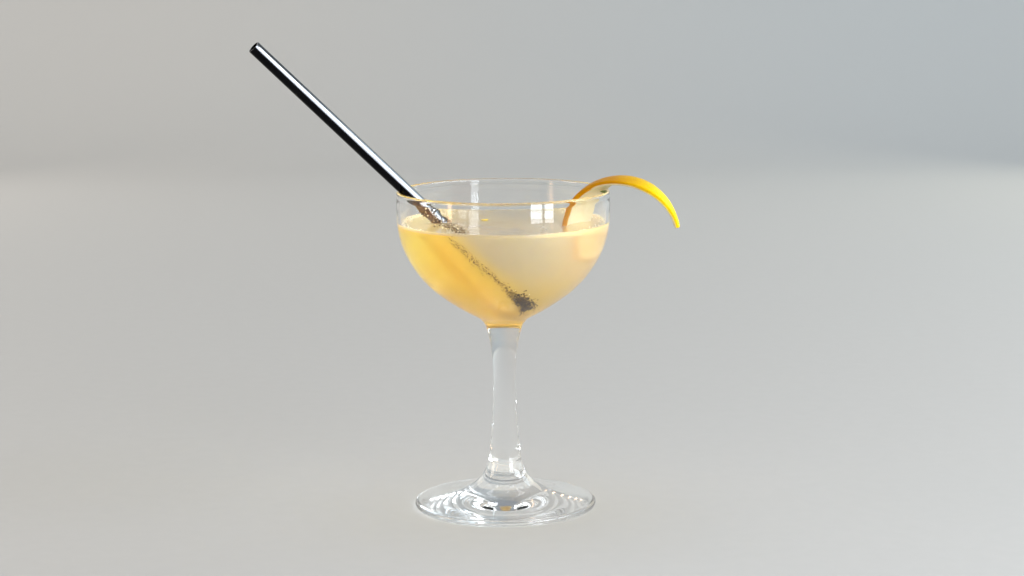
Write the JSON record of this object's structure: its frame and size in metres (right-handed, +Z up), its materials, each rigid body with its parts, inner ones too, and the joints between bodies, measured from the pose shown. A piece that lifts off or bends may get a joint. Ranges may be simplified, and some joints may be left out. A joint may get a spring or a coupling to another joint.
{
  "type": "cloudy lemon cocktail in a stemmed coupe glass",
  "caption": "Pale cloudy lemon cocktail in a clear stemmed coupe, with a metal straw leaning on the rim and a hooked strip of lemon peel.",
  "frame": {"origin": "middle of the flat underside of the foot", "axes": "+Z up along the glass's axis; +X towards the side where the peel hangs, -X towards the straw; -Y towards the front"},
  "size_m": [0.1857, 0.0952, 0.2121],
  "materials": {
    "glass": "clear and polished",
    "drink": "cloudy liquid with a wet surface",
    "steel": "polished",
    "peel": "waxy skin with pores, matt pith below"
  },
  "bodies": {
    "root": {"glass": "glass", "drink": "drink", "straw": "steel", "lemon_peel": "peel"}
  },
  "joints": []
}
